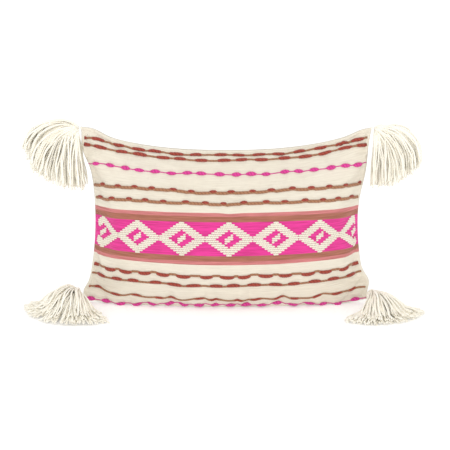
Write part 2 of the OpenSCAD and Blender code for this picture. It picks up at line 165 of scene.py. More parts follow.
def make_object(name, points, faces, uvs=None, tints=None):
    """A mesh object; uvs has a row for each face corner and tints a number for each point."""
    mesh = bpy.data.meshes.new(name)
    mesh.from_pydata(np.asarray(points).tolist(), [], faces)
    if uvs is not None:
        layer = mesh.uv_layers.new(name="flat")
        layer.data.foreach_set("uv", np.asarray(uvs, np.float32).ravel())
    if tints is not None:
        attribute = mesh.attributes.new("tint", "FLOAT", "POINT")
        attribute.data.foreach_set("value", np.asarray(tints, np.float32))
    mesh.polygons.foreach_set("use_smooth", [True] * len(mesh.polygons))
    mesh.update()
    piece = bpy.data.objects.new(name, mesh)
    bpy.context.scene.collection.objects.link(piece)
    return piece


def finish_piece(piece, body, material, slot, *nodes):
    """Gives a piece its material and its body, and hides the CAD nodes that it stands for; slot is not used.
    """
    piece.data.materials.clear()
    piece.data.materials.append(material)
    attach(piece, body)
    if nodes:
        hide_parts(*nodes)


def grid_quads(rows, columns):
    index = np.arange(rows * columns).reshape(rows, columns)
    quads = np.stack([index[:-1, :-1], index[:-1, 1:], index[1:, 1:], index[1:, :-1]], axis=-1)
    return quads.reshape(-1, 4)


def rim_of(rows, columns):
    """Indices round a grid's edge, in order."""
    index = np.arange(rows * columns).reshape(rows, columns)
    return np.concatenate([index[0, :-1], index[:-1, -1], index[-1, :0:-1], index[:0:-1, 0]])


def shell(name, outer, inner, flat, side):
    """A closed piece of cloth between two grids, with flat distances as its UVs."""
    rows, columns = outer.shape[:2]
    count = rows * columns
    quads = grid_quads(rows, columns)
    if side == BACK:
        quads = quads[:, ::-1]
    rim = rim_of(rows, columns)
    ahead = np.roll(rim, -1)
    edge = np.stack([rim, rim + count, ahead + count, ahead], axis=-1)
    if side == BACK:
        edge = edge[:, ::-1]
    faces = np.concatenate([quads, quads[:, ::-1] + count, edge])
    points = np.concatenate([outer.reshape(-1, 3), inner.reshape(-1, 3)])
    corner_uvs = np.concatenate([flat.reshape(-1, 2)] * 2)[faces.ravel()]
    return make_object(name, points, faces.tolist(), corner_uvs)


class Tubes:
    """Many tubes gathered into one mesh, with UVs of (length along, turn around)."""

    def __init__(self):
        self.points = []
        self.faces = []
        self.uvs = []
        self.caps = []
        self.cap_uvs = []
        self.tints = []
        self.count = 0

    def add(self, rings, tint=0.0):
        """rings: an array of (ring, side, xyz); tint: a number, or one for each ring."""
        m, n = rings.shape[:2]
        centres = rings.mean(axis=1)
        steps = np.linalg.norm(np.diff(centres, axis=0), axis=1)
        along = np.concatenate([[0.0], np.cumsum(steps)])
        i, k = np.meshgrid(np.arange(m - 1), np.arange(n), indexing="ij")
        i, k = i.ravel(), k.ravel()
        after = (k + 1) % n
        quads = np.stack([i * n + k, i * n + after, (i + 1) * n + after, (i + 1) * n + k], axis=-1)
        turn = np.stack([k, k + 1, k + 1, k], axis=-1) / n
        length = np.stack([along[i], along[i], along[i + 1], along[i + 1]], axis=-1)
        self.faces.append(quads + self.count)
        self.uvs.append(np.stack([length, turn], axis=-1).reshape(-1, 2))
        for ring, order in ((0, range(n - 1, -1, -1)), (m - 1, range(n))):
            self.caps.append([self.count + ring * n + s for s in order])
            self.cap_uvs.extend([along[ring], 0.5 + 0.1 * math.cos(2 * math.pi * s / n)] for s in order)
        self.points.append(rings.reshape(-1, 3))
        self.tints.append(np.repeat(np.broadcast_to(tint, (m,)), n))
        self.count += m * n

    def build(self, name):
        faces = np.concatenate(self.faces).tolist() + self.caps
        uvs = np.concatenate(self.uvs + [np.array(self.cap_uvs)])
        return make_object(name, np.concatenate(self.points), faces, uvs, np.concatenate(self.tints))


def unit(vectors):
    return vectors / np.maximum(np.linalg.norm(vectors, axis=-1, keepdims=True), 1e-12)


def tube_rings(centres, radii, sides, normals, flatness=1.0, plies=0, turns=0.0, depth=0.0):
    """Rings about a path. normals points away from what the tube lies on; plies twist round it."""
    tangents = unit(np.gradient(centres, axis=0))
    across = unit(np.cross(tangents, normals))
    normals = unit(np.cross(across, tangents))
    angles = np.linspace(0, 2 * math.pi, sides, endpoint=False)
    steps = np.linalg.norm(np.diff(centres, axis=0), axis=1)
    along = np.concatenate([[0.0], np.cumsum(steps)])
    swell = 1 + depth * np.cos(plies * (angles[None, :] - 2 * math.pi * turns * along[:, None]))
    reach = np.broadcast_to(radii, (len(centres),))[:, None] * swell
    out = (reach * np.cos(angles))[..., None] * normals[:, None] * flatness
    return centres[:, None] + out - (reach * np.sin(angles))[..., None] * across[:, None]


def yarn_piece(tubes, body, material, slot, node):
    """The piece made of these tubes, named after the CAD node that it stands for."""
    finish_piece(tubes.build("visual_" + node), body, material, slot, node)


# ---- Cloth simulation of the cover ----

SIM_COLUMNS = 96
SIM_ROWS = 64
SIM_FRAMES = 20
MOST_MOVED = 6 * MM
HELD_FADE = 8 * MM         # over which the cloth becomes free beside the zip
SIM_US = eased(SIM_COLUMNS, 0.3)
SIM_VS = eased(SIM_ROWS, 0.3)


def held_share(points, side):
    """How firmly each point of the cover is held: at the seams, the floor and the zip."""
    rows, columns = points.shape[:2]
    held = np.zeros((rows, columns))
    held[points[..., 2] < 0.5 * MM] = 1
    held[0] = held[-1] = 1
    held[:, 0] = held[:, -1] = 1
    if side == BACK:
        from_zip = np.abs(points[..., 2] - ZIP_Z)
        held = np.maximum(held, np.clip((ZIP_BAND + HELD_FADE - from_zip) / HELD_FADE, 0, 1))
    return held


def simulate_cover():
    """Blows the cover up a little as cloth and returns how far each grid point of each half moved."""
    grids = [plain_shape(SIM_US[None, :], SIM_VS[:, None], side) for side in (FRONT, BACK)]
    rows, columns = grids[0].shape[:2]
    count = rows * columns
    front_quads = grid_quads(rows, columns)
    rim = set(rim_of(rows, columns).tolist())
    new_index = np.arange(count) + count
    shared = np.array([i in rim for i in range(count)])
    new_index[shared] = np.flatnonzero(shared)
    inside = np.flatnonzero(~shared)
    new_index[inside] = count + np.arange(len(inside))
    faces = np.concatenate([front_quads, new_index[front_quads[:, ::-1]]])
    points = np.concatenate([grids[0].reshape(-1, 3), grids[1].reshape(-1, 3)[inside]])
    piece = make_object("cloth_trial", points, faces.tolist())
    held = np.concatenate([held_share(grids[0], FRONT).ravel(), held_share(grids[1], BACK).ravel()[inside]])
    group = piece.vertex_groups.new(name="held")
    for index, weight in enumerate(held):
        if weight > 0:
            group.add([index], float(weight), "REPLACE")
    modifier = piece.modifiers.new("cloth", "CLOTH")
    cloth = modifier.settings
    cloth.vertex_group_mass = "held"
    cloth.use_pressure = True
    cloth.uniform_pressure_force = 4
    cloth.effector_weights.gravity = 0
    cloth.quality = 6
    cloth.tension_stiffness = 25
    cloth.compression_stiffness = 12
    cloth.bending_stiffness = 0.35
    cloth.shrink_min = -0.035
    modifier.point_cache.frame_start = 1
    modifier.point_cache.frame_end = SIM_FRAMES
    scene = bpy.context.scene
    for number in range(1, SIM_FRAMES + 1):
        scene.frame_set(number)
    shaped = piece.evaluated_get(bpy.context.evaluated_depsgraph_get())
    moved = np.empty(len(points) * 3)
    shaped.data.vertices.foreach_get("co", moved)
    moved = moved.reshape(-1, 3) - points
    scene.frame_set(1)
    mesh = piece.data
    bpy.data.objects.remove(piece)
    bpy.data.meshes.remove(mesh)
    far = np.linalg.norm(moved, axis=1, keepdims=True)
    moved = moved * np.minimum(1, MOST_MOVED * np.tanh(far / MOST_MOVED) / np.maximum(far, 1e-9))
    return moved[:count].reshape(rows, columns, 3), moved[new_index].reshape(rows, columns, 3)


front_moved, back_moved = simulate_cover()


def cubic(at, axis_values):
    """Catmull-Rom places: the four rows of values to take at each place, and their weights."""
    place = np.interp(at, axis_values, np.arange(len(axis_values)))
    base = np.clip(np.floor(place).astype(int), 0, len(axis_values) - 2)
    t = place - base
    weights = np.stack([
        -0.5 * t + t ** 2 - 0.5 * t ** 3,
        1 - 2.5 * t ** 2 + 1.5 * t ** 3,
        0.5 * t + 2 * t ** 2 - 1.5 * t ** 3,
        -0.5 * t ** 2 + 0.5 * t ** 3])
    rows = np.clip(base[None] + np.arange(-1, 3).reshape((4,) + (1,) * base.ndim), 0, len(axis_values) - 1)
    return rows, weights


def movement(u, v, side):
    """The simulated movement at any place on the cover."""
    field = front_moved if side == FRONT else back_moved
    rows, row_weights = cubic(v, SIM_VS)
    columns, column_weights = cubic(u, SIM_US)
    total = 0.0
    for r in range(4):
        for c in range(4):
            share = (row_weights[r] * column_weights[c])[..., None]
            total = total + share * field[rows[r], columns[c]]
    return total


def fold(u, v, centre, direction, length, width, height):
    """A soft crease from centre (u, v) along direction, in flat metres: outward height at each place."""
    across = (u - centre[0]) * HALF_W
    up = (v - centre[1]) * HALF_H
    way = np.array(direction) / math.hypot(*direction)
    along = across * way[0] + up * way[1]
    aside = -across * way[1] + up * way[0]
    fade = np.exp(-((along - length / 2) / (length / 2)) ** 4)
    return height * fade * np.exp(-(aside / width) ** 2)


# Creases that the corners and the slack top edge press into the cloth: where each starts, its
# direction, length, half width and height (mm)
FRONT_FOLDS = [
    ((-0.97, -0.86), (1.0, 0.35), 62, 5, -2.6),
    ((-0.98, -0.93), (1.0, 0.12), 74, 5, 2.2),
    ((-0.95, -0.74), (1.0, 0.75), 46, 6, 1.6),
    ((0.985, -0.80), (-1.0, 0.28), 70, 6, -3.4),
    ((0.99, -0.90), (-1.0, 0.10), 66, 5, 3.0),
    ((0.96, -0.66), (-1.0, 0.62), 52, 7, 2.0),
    ((-0.93, 0.93), (1.0, -0.50), 80, 8, 2.0),
    ((-0.90, 0.97), (1.0, -0.22), 95, 6, -1.8),
    ((0.93, 0.93), (-1.0, -0.50), 80, 8, 2.0),
    ((0.90, 0.97), (-1.0, -0.25), 90, 6, -1.8),
    ((-0.02, 0.99), (0.12, -1.0), 60, 11, -2.6),
    ((0.17, 1.00), (-0.2, -1.0), 48, 9, -2.0),
    ((-0.32, 1.00), (0.3, -1.0), 44, 10, -1.6),
]
PAIRED_FOLDS = [
    ((0.97, -0.86), (-1.0, 0.35), 58, 5, 2.0),
    ((0.93, 0.93), (-1.0, -0.55), 84, 8, 2.0),
    ((0.85, 0.97), (-1.0, -0.25), 90, 6, -1.6),
]
BACK_FOLDS = [((turn * u, v), (turn * x, z), *size)
              for (u, v), (x, z), *size in PAIRED_FOLDS for turn in (-1, 1)]
BACK_FOLDS.append(((0.08, 1.00), (-0.1, -1.0), 58, 12, -2.4))


def folds(u, v, side):
    total = np.zeros(np.broadcast(u, v).shape)
    for start, way, length, width, height in (FRONT_FOLDS if side == FRONT else BACK_FOLDS):
        total = total + fold(u, v, start, way, length * MM, width * MM, height * MM)
    edge = np.clip((1 - np.maximum(np.abs(u), np.abs(v))) / 0.05, 0, 1)
    return total * edge


def hump(value, middle, width):
    return np.exp(-((value - middle) / width) ** 2)


def shoulders(u, v):
    """How far the filled corners swell out sideways and up, beyond the plain shape."""
    left = 8 * hump(v, 0.76, 0.17) + 6 * hump(v, -0.90, 0.09)
    right = 7 * hump(v, 0.52, 0.30) + 9 * hump(v, -0.78, 0.11)
    sideways = np.where(u < 0, -left, right) * np.abs(u) ** 7 * MM
    up = (7 * hump(u, -0.91, 0.09) + 4 * hump(u, 0.92, 0.08)) * MM * np.maximum(v, 0) ** 6
    return np.stack([sideways, np.zeros_like(up), up], axis=-1)


def surface(u, v, side=FRONT, depth=0.0):
    """Points of the wrinkled cover; the insert below it follows it loosely."""
    u, v = np.broadcast_arrays(np.asarray(u, float), np.asarray(v, float))
    points = plain_shape(u, v, side, depth)
    free = np.clip((points[..., 2] - depth) / (6 * MM), 0, 1)
    calm = 1 - (zip_share(u, points[..., 2]) if side == BACK else 0)
    points = points + movement(u, v, side) * free[..., None] + shoulders(u, v)
    points[..., 1] += side * folds(u, v, side) * free * calm
    points[..., 2] = np.maximum(points[..., 2], depth)
    return points


def outward(u, v, side=FRONT):
    """Unit normals of the wrinkled cover, pointing out of the pillow."""
    step = 0.006
    along = surface(np.clip(u + step, -1, 1), v, side) - surface(np.clip(u - step, -1, 1), v, side)
    up = surface(u, np.clip(v + step, -1, 1), side) - surface(u, np.clip(v - step, -1, 1), side)
    return unit(np.cross(along, up)) * (1 if side == FRONT else -1)


# ---- Materials ----

class Look:
    """A material under construction: short calls that add nodes and return their outputs."""

    def __init__(self, name, roughness, **sockets):
        self.material = bpy.data.materials.new(name)
        self.material.use_nodes = True
        self.tree = self.material.node_tree
        self.shader = self.tree.nodes["Principled BSDF"]
        self.shader.inputs["Roughness"].default_value = roughness
        for socket, value in sockets.items():
            self.shader.inputs[socket.replace("_", " ")].default_value = value

    def add(self, kind, **settings):
        node = self.tree.nodes.new(kind)
        for name, value in settings.items():
            setattr(node, name, value)
        return node

    def feed(self, socket, value):
        if isinstance(value, bpy.types.NodeSocket):
            self.tree.links.new(value, socket)
        elif isinstance(value, tuple) and len(value) == 3 and socket.type == "RGBA":
            socket.default_value = (*value, 1)
        else:
            socket.default_value = value

    def calc(self, operation, a, b=0.0, c=0.0):
        node = self.add("ShaderNodeMath", operation=operation)
        for socket, value in zip(node.inputs, (a, b, c)):
            self.feed(socket, value)
        return node.outputs[0]

    def times(self, a, b):
        return self.calc("MULTIPLY", a, b)

    def plus(self, a, b):
        return self.calc("ADD", a, b)

    def ridges(self, value, per_metre):
        """Rounded ridges, 1 on the crest and 0 in the groove."""
        return self.calc("ABSOLUTE", self.calc("SINE", self.times(value, per_metre)))

    def streaks(self, x, x_scale, y, y_scale, detail):
        """Noise stretched by a scale of its own along each of two directions."""
        return self.noise(self.vector(self.times(x, x_scale), self.times(y, y_scale)), 1.0, detail)

    def scaled(self, colour, by):
        return self.mix(1.0, colour, by, "MULTIPLY")

    def uv(self):
        split = self.add("ShaderNodeSeparateXYZ")
        self.feed(split.inputs[0], self.add("ShaderNodeUVMap", uv_map="flat").outputs[0])
        return split.outputs[0], split.outputs[1]

    def tint(self):
        return self.add("ShaderNodeAttribute", attribute_name="tint").outputs["Fac"]

    def place(self):
        """Where a point is on the piece, in metres."""
        return self.add("ShaderNodeTexCoord").outputs["Object"]

    def vector(self, x, y, z=0.0):
        node = self.add("ShaderNodeCombineXYZ")
        for socket, value in zip(node.inputs, (x, y, z)):
            self.feed(socket, value)
        return node.outputs[0]

    def noise(self, vector, scale, detail=3.0, roughness=0.55):
        """Soft noise with about this many grains to a metre."""
        node = self.add("ShaderNodeTexNoise")
        self.feed(node.inputs["Vector"], vector)
        node.inputs["Scale"].default_value = scale
        node.inputs["Detail"].default_value = detail
        node.inputs["Roughness"].default_value = roughness
        return node.outputs["Fac"]

    def spread(self, value, low, high, to_low=0.0, to_high=1.0):
        """Stretches the range from low to high over the range from to_low to to_high."""
        node = self.add("ShaderNodeMapRange")
        for socket, number in zip(node.inputs, (value, low, high, to_low, to_high)):
            self.feed(socket, number)
        return node.outputs[0]

    def mix(self, share, a, b, blend="MIX"):
        node = self.add("ShaderNodeMix", data_type="RGBA", blend_type=blend)
        self.feed(node.inputs[0], share)
        self.feed(node.inputs[6], a)
        self.feed(node.inputs[7], b)
        return node.outputs[2]

    def stripes(self, value, start, end, colours):
        """Flat bands of colour: a list of (share where it starts, colour)."""
        ramp = self.add("ShaderNodeValToRGB")
        ramp.color_ramp.interpolation = "CONSTANT"
        while len(ramp.color_ramp.elements) < len(colours):
            ramp.color_ramp.elements.new(1.0)
        for element, (share, colour) in zip(ramp.color_ramp.elements, colours):
            element.position = share
            element.color = (*colour, 1)
        self.feed(ramp.inputs[0], self.spread(value, start, end))
        return ramp.outputs[0]

    def colour(self, value):
        self.feed(self.shader.inputs["Base Color"], value)

    def bump(self, height, distance, strength=1.0):
        node = self.add("ShaderNodeBump")
        node.inputs["Distance"].default_value = distance
        node.inputs["Strength"].default_value = strength
        self.feed(node.inputs["Height"], height)
        self.feed(self.shader.inputs["Normal"], node.outputs[0])


def linear(red, green, blue):
    """A colour as the shader wants it, from the 0..255 values seen on a screen."""
    return tuple((c / 255) ** 2.2 for c in (red, green, blue))


# Each darker partner colour below stands both for darker streaks of the cloth and yarns and for painted
# shade in the grooves between threads and plies.
CREAM = linear(231, 224, 208)
CREAM_TONE_AND_SHADE = linear(198, 188, 166)
HOT_PINK = linear(230, 62, 152)
BROWN_BAND = linear(172, 110, 92)
SALMON = linear(208, 128, 128)
RUST = linear(163, 74, 60)
RUST_TONE_AND_SHADE = linear(112, 42, 34)
TAN = linear(170, 122, 92)
TAN_TONE_AND_SHADE = linear(120, 80, 56)
PINK_YARN = linear(222, 66, 150)
PINK_YARN_TONE_AND_SHADE = linear(160, 52, 106)
TASSEL = linear(253, 250, 240)
TASSEL_TONE_AND_SHADE = linear(240, 232, 212)

# Heights of the woven stripes above the middle of the flat front, and the picks of the weave
BAND_TOP = 23.3 * MM
BAND_BOTTOM = -60.1 * MM
STRIPE_MARGIN = 4 * MM
STRIPES = [(BAND_BOTTOM, SALMON), (-54.2 * MM, BROWN_BAND), (-45.6 * MM, HOT_PINK),
           (6.6 * MM, BROWN_BAND), (16.6 * MM, SALMON), (BAND_TOP, CREAM)]
WEFT_PITCH = 2.1 * MM
WARP_PITCH = 1.7 * MM
END_SAG = 5.5 * MM         # how far a line of weft drops by the side seams


def weave_height(look, across, up, weft, warp):
    """Plain weave: rounded threads that pass over and under each other by turns."""
    weft_wave = look.calc("SINE", look.times(up, math.pi / weft))
    warp_wave = look.calc("SINE", look.times(across, math.pi / warp))
    over = look.spread(look.times(look.calc("SIGN", weft_wave), look.calc("SIGN", warp_wave)), -1, 1)
    crossing = look.times(over, 0.45)
    weft_part = look.times(look.calc("ABSOLUTE", weft_wave), look.plus(0.55, crossing))
    warp_part = look.times(look.calc("ABSOLUTE", warp_wave), look.calc("SUBTRACT", 0.75, crossing))
    return look.calc("MAXIMUM", weft_part, warp_part)


def woven_stripes(look, up):
    """The colour of each woven stripe, and 1 inside the coloured band."""
    start = BAND_BOTTOM - STRIPE_MARGIN
    span = BAND_TOP + STRIPE_MARGIN - start
    colours = [(0.0, CREAM)] + [((at - start) / span, colour) for at, colour in STRIPES]
    from_middle = look.calc("ABSOLUTE", look.calc("SUBTRACT", up, (BAND_TOP + BAND_BOTTOM) / 2))
    in_band = look.calc("LESS_THAN", from_middle, (BAND_TOP - BAND_BOTTOM) / 2)
    return look.stripes(up, start, start + span, colours), in_band


def cover_look(name, banded):
    """Handwoven cotton: uneven picks, streaks along the weft, painted shade in the weave's grooves, clouds
    of warmer yarn and stray fibres.
    """
    look = Look(name, 0.92, Sheen_Weight=0.15, Sheen_Roughness=0.6, Specular_IOR_Level=0.2)
    across, up = look.uv()
    drift = look.streaks(across, 26, up, 140, 4)
    wavy = look.plus(up, look.spread(drift, 0, 1, -0.5 * MM, 0.5 * MM))
    if banded:
        from_middle = look.calc("ABSOLUTE", look.calc("DIVIDE", across, HALF_W))
        wavy = look.plus(wavy, look.times(look.calc("POWER", from_middle, 4.0), END_SAG))
    height = weave_height(look, across, wavy, WEFT_PITCH, WARP_PITCH)
    streak = look.streaks(across, 34, up, 900, 3)
    cloud = look.noise(look.place(), 9.0, 4)
    fibre = look.noise(look.place(), 900.0, 3)
    if banded:
        base, in_band = woven_stripes(look, wavy)
        tone_and_shade = look.scaled(base, (0.68, 0.64, 0.6))
    else:
        base, in_band = CREAM, 0.0
        tone_and_shade = CREAM_TONE_AND_SHADE
    # Painted shade: the weave's grooves are coloured darker, mixed with the darker streaks and picks of the
    # cloth itself.
    shade = look.times(look.spread(streak, 0.36, 0.66), look.spread(height, 0.9, 0.35, 0.35, 1.0))
    pick = look.spread(look.streaks(across, 18, up, 480, 2), 0.42, 0.62)
    contrast = look.plus(0.16, look.times(in_band, 0.6))
    shade = look.plus(look.times(shade, 0.42), look.times(pick, contrast))
    colour = look.mix(look.calc("MINIMUM", shade, 1.0), base, tone_and_shade)
    warmer = look.scaled(colour, (1.0, 0.975, 0.93))
    warmed = look.mix(look.spread(cloud, 0.35, 0.7, 0.0, 0.5), colour, warmer)
    lighter = look.scaled(warmed, (1.06, 1.06, 1.05))
    look.colour(look.mix(look.spread(fibre, 0.55, 0.8, 0.0, 0.35), warmed, lighter))
    look.bump(look.plus(height, look.times(streak, 0.5)), 0.5 * MM, 0.8)
    return look.material


def twisted(look, ply_pitch, plies, along_scale, spiral_scale):
    """The crests of a yarn's twisted plies, and the fibres that run along them."""
    along, turn = look.uv()
    spiral = look.plus(look.calc("DIVIDE", along, ply_pitch), look.times(turn, float(plies)))
    return look.ridges(spiral, math.pi), look.streaks(along, along_scale, spiral, spiral_scale, 3)


def yarn_look(name, light, tone_and_shade, ply_pitch, other=None, other_tone_and_shade=None, fuzz=0.5):
    """Spun yarn: plies that twist round each other, with painted shade in the grooves between them, fibres
    along them and fuzz on top.
    """
    look = Look(name, 0.9, Sheen_Weight=0.3, Sheen_Roughness=0.5, Specular_IOR_Level=0.25)
    crest, strands = twisted(look, ply_pitch, 2, 60, 5)
    fibre = look.noise(look.place(), 1300.0, 2)
    blotch = look.noise(look.place(), 45.0, 3)
    if other is not None:
        share = look.spread(look.plus(look.tint(), look.spread(strands, 0.3, 0.7, -0.12, 0.12)), 0.4, 0.6)
        light = look.mix(share, light, other)
        tone_and_shade = look.mix(share, tone_and_shade, other_tone_and_shade)
    # Painted shade: the grooves between the plies are coloured darker, added to the darker fibre streaks
    # along them.
    shade = look.plus(look.spread(crest, 0.75, 0.1, 0.0, 0.6), look.spread(strands, 0.35, 0.7, 0.0, 0.45))
    colour = look.mix(look.calc("MINIMUM", shade, 1.0), light, tone_and_shade)
    darker = look.scaled(colour, (0.86, 0.84, 0.82))
    colour = look.mix(look.spread(blotch, 0.4, 0.7, 0.0, 0.3), colour, darker)
    look.colour(look.mix(look.spread(fibre, 0.5, 0.8, 0.0, fuzz * 0.3), colour, light))
    rise = look.plus(look.calc("SQRT", crest), look.times(strands, 0.45))
    look.bump(look.plus(rise, look.times(fibre, 0.25 * fuzz)), 0.45 * MM, 0.9)
    return look.material


def tassel_look():
    """Soft cotton yarn whose strands differ a little in tone, with painted shade in the grooves between its
    plies.
    """
    look = Look("tassel_cotton", 0.9, Sheen_Weight=0.3, Sheen_Roughness=0.5, Specular_IOR_Level=0.2)
    crest, strands = twisted(look, 4.5 * MM, 2, 70, 4)
    fibre = look.noise(look.place(), 1200.0, 2)
    # Painted shade: the grooves between the plies are coloured darker, added to fibre streaks and each
    # strand's own tone.
    shade = look.plus(look.spread(crest, 0.6, 0.0, 0.0, 0.5), look.spread(strands, 0.4, 0.75, 0.0, 0.35))
    shade = look.plus(shade, look.times(look.tint(), 0.45))
    colour = look.mix(look.calc("MINIMUM", shade, 1.0), TASSEL, TASSEL_TONE_AND_SHADE)
    look.colour(look.mix(look.spread(fibre, 0.5, 0.8, 0.0, 0.3), colour, TASSEL))
    look.bump(look.plus(look.calc("SQRT", crest), look.times(strands, 0.5)), 0.4 * MM, 0.9)
    return look.material


def casing_look():
    look = Look("insert_cotton", 0.85, Sheen_Weight=0.1)
    across, up = look.uv()
    height = weave_height(look, across, up, 0.8 * MM, 0.7 * MM)
    cloud = look.noise(look.place(), 30.0, 4)
    look.colour(look.mix(look.spread(cloud, 0.3, 0.7), linear(244, 243, 238), linear(228, 226, 218)))
    look.bump(height, 0.15 * MM)
    return look.material


def filling_look():
    look = Look("polyester_fibre", 0.95, Sheen_Weight=0.4)
    tuft = look.noise(look.place(), 160.0, 6, 0.7)
    look.colour(look.mix(tuft, linear(250, 250, 248), linear(222, 222, 218)))
    look.bump(tuft, 1.5 * MM)
    return look.material


def tape_look():
    look = Look("zip_tape_twill", 0.85, Sheen_Weight=0.1)
    split = look.add("ShaderNodeSeparateXYZ")
    look.feed(split.inputs[0], look.place())
    across, up = split.outputs[0], split.outputs[2]
    diagonal = look.plus(look.calc("ABSOLUTE", look.calc("MODULO", across, 3 * MM)), up)
    rib = look.ridges(diagonal, math.pi / (0.9 * MM))
    cloud = look.noise(look.place(), 60.0, 3)
    # Painted shade: the twill's grooves are coloured darker, by an amount that varies in random clouds.
    shade = look.times(look.spread(rib, 0.9, 0.2), look.spread(cloud, 0.2, 0.8, 0.4, 0.8))
    look.colour(look.mix(shade, linear(232, 226, 210), linear(198, 188, 164)))
    look.bump(rib, 0.2 * MM)
    return look.material


def nylon_look():
    look = Look("zip_nylon", 0.42, Specular_IOR_Level=0.45)
    grain = look.noise(look.place(), 400.0, 3)
    look.colour(look.mix(grain, linear(236, 230, 214), linear(214, 206, 186)))
    look.bump(grain, 0.05 * MM)
    return look.material


def metal_look():
    """Brushed nickel, duller and darker where fingers have rubbed it."""
    look = Look("zip_nickel", 0.3, Metallic=1.0)
    split = look.add("ShaderNodeSeparateXYZ")
    look.feed(split.inputs[0], look.place())
    x, y, z = split.outputs
    lines = look.vector(look.times(x, 300), y, look.times(z, 6000))
    brushed = look.noise(lines, 1.0, 3)
    rubbed = look.noise(look.place(), 220.0, 4)
    look.colour(look.mix(look.spread(rubbed, 0.4, 0.7), linear(196, 194, 190), linear(150, 147, 142)))
    worn = look.spread(look.plus(brushed, rubbed), 0.6, 1.4, 0.22, 0.5)
    look.feed(look.shader.inputs["Roughness"], worn)
    look.bump(brushed, 0.04 * MM, 0.6)
    return look.material


COVER_FRONT = cover_look("cover_weave_banded", True)
COVER_BACK = cover_look("cover_weave_plain", False)
RUST_YARN = yarn_look("rust_slub", RUST, RUST_TONE_AND_SHADE, 6 * MM, other=TAN, other_tone_and_shade=TAN_TONE_AND_SHADE)
PINK_SLUB = yarn_look("pink_slub", PINK_YARN, PINK_YARN_TONE_AND_SHADE, 5 * MM)
BROCADE = yarn_look("brocade_cotton", linear(238, 232, 218), linear(214, 204, 182), 3.2 * MM, fuzz=0.3)
THREAD = yarn_look("sewing_thread", linear(236, 230, 214), linear(196, 186, 160), 0.9 * MM, fuzz=0.2)
TASSEL_YARN = tassel_look()
CASING = casing_look()
FILLING = filling_look()
TAPE = tape_look()
NYLON = nylon_look()
NICKEL = metal_look()


# ---- Cover ----

COVER_COLUMNS = 230
COVER_ROWS = 156
UPPER_BACK_ROWS = 120
LOWER_BACK_ROWS = 50
INSERT_COLUMNS = 90
INSERT_ROWS = 64
CASING_LUMP = 0.8 * MM
FILLING_LUMP = 1.6 * MM
STITCH_R = 0.35 * MM
SEAM_STITCH = 7 * MM       # from one stitch to the next
CASING_STITCH = 9 * MM


def cover_panel(name, us, vs, side, material):
    """One panel of the cover. vs has a row of v for each row of the grid, one for each u."""
    u = np.broadcast_to(us, vs.shape)
    flat = np.stack([u * HALF_W, vs * HALF_H], axis=-1)
    outer = surface(u, vs, side)
    inner = surface(u, vs, side, CLOTH_T)
    panel = shell(name, outer, inner, flat, side)
    finish_piece(panel, "pillow", material, "cover_cloth", name.replace("visual_", ""))


def make_cover():
    us = eased(COVER_COLUMNS)
    vs = np.repeat(eased(COVER_ROWS)[:, None], len(us), axis=1)
    cover_panel("visual_front_panel", us, vs, FRONT, COVER_FRONT)
    half_gap = np.where(np.abs(us) <= ZIP_REACH, ZIP_OPENING, SEAM_GAP / 2)
    upper_from = v_at_height(us, ZIP_Z + half_gap)
    lower_to = v_at_height(us, ZIP_Z - half_gap)
    up = np.sin(np.linspace(0, 1, UPPER_BACK_ROWS)[:, None] ** 0.95 * math.pi / 2)
    cover_panel("visual_back_panel_upper", us, upper_from + (1 - upper_from) * up, BACK, COVER_BACK)
    down = np.linspace(0, 1, LOWER_BACK_ROWS)[:, None]
    cover_panel("visual_back_panel_lower", us, -1 + (lower_to + 1) * down, BACK, COVER_BACK)


def add_stitch(tubes, u, v, out, shape=surface):
    """One stitch: an arc from the front half to the back half over the seam."""
    reach = 1 - 0.012
    inside = (u, v * reach) if abs(v) == 1 else (u * reach, v)
    front, back = (shape(*np.array(inside)[:, None], side)[0] for side in (FRONT, BACK))
    t = np.linspace(0, 1, 7)[:, None]
    tip = shape(np.array([u]), np.array([v]), FRONT)[0] + np.array(out) * 0.6 * MM
    path = front * (1 - t) ** 2 + 2 * tip * t * (1 - t) + back * t ** 2
    tubes.add(tube_rings(path, STITCH_R, 8, np.broadcast_to(np.array(out), path.shape)))


def seam_stitches():
    """Short stitches that lie across the seam, along both sides and the top."""
    tubes = Tubes()
    for s in np.arange(-0.985, 0.986, SEAM_STITCH / HALF_W):
        add_stitch(tubes, s, 1.0, Vector((0, 0, 1)))
    for s in np.arange(-0.9, 0.99, SEAM_STITCH / HALF_H):
        for edge in (-1, 1):
            add_stitch(tubes, float(edge), s, Vector((edge, 0, 0)))
    piece = tubes.build("visual_perimeter_stitches")
    finish_piece(piece, "pillow", THREAD, "sewing_thread", "perimeter_seam_thread")


def insert_surface(u, v, side, depth=INSERT_DEPTH):
    """The cover's own shape, further in, and slimmer towards its seams."""
    points = surface(u * INSERT_SHARE, v * INSERT_SHARE, side, depth)
    middle = lean(points[..., 2])
    slim = 1 - 0.75 * np.maximum(np.abs(u), np.abs(v)) ** 6
    points[..., 1] = middle + (points[..., 1] - middle) * slim
    return points


def insert_stitches():
    """Stitches round the whole edge of the insert's casing."""
    tubes = Tubes()
    for edge in (-1.0, 1.0):
        for s in np.arange(-0.95, 0.951, CASING_STITCH / HALF_W):
            add_stitch(tubes, s, edge, Vector((0, 0, edge)), insert_surface)
        for s in np.arange(-0.95, 0.951, CASING_STITCH / HALF_H):
            add_stitch(tubes, edge, s, Vector((edge, 0, 0)), insert_surface)
    piece = tubes.build("visual_insert_stitches")
    finish_piece(piece, "pillow", THREAD, "sewing_thread", "insert_seam_thread")


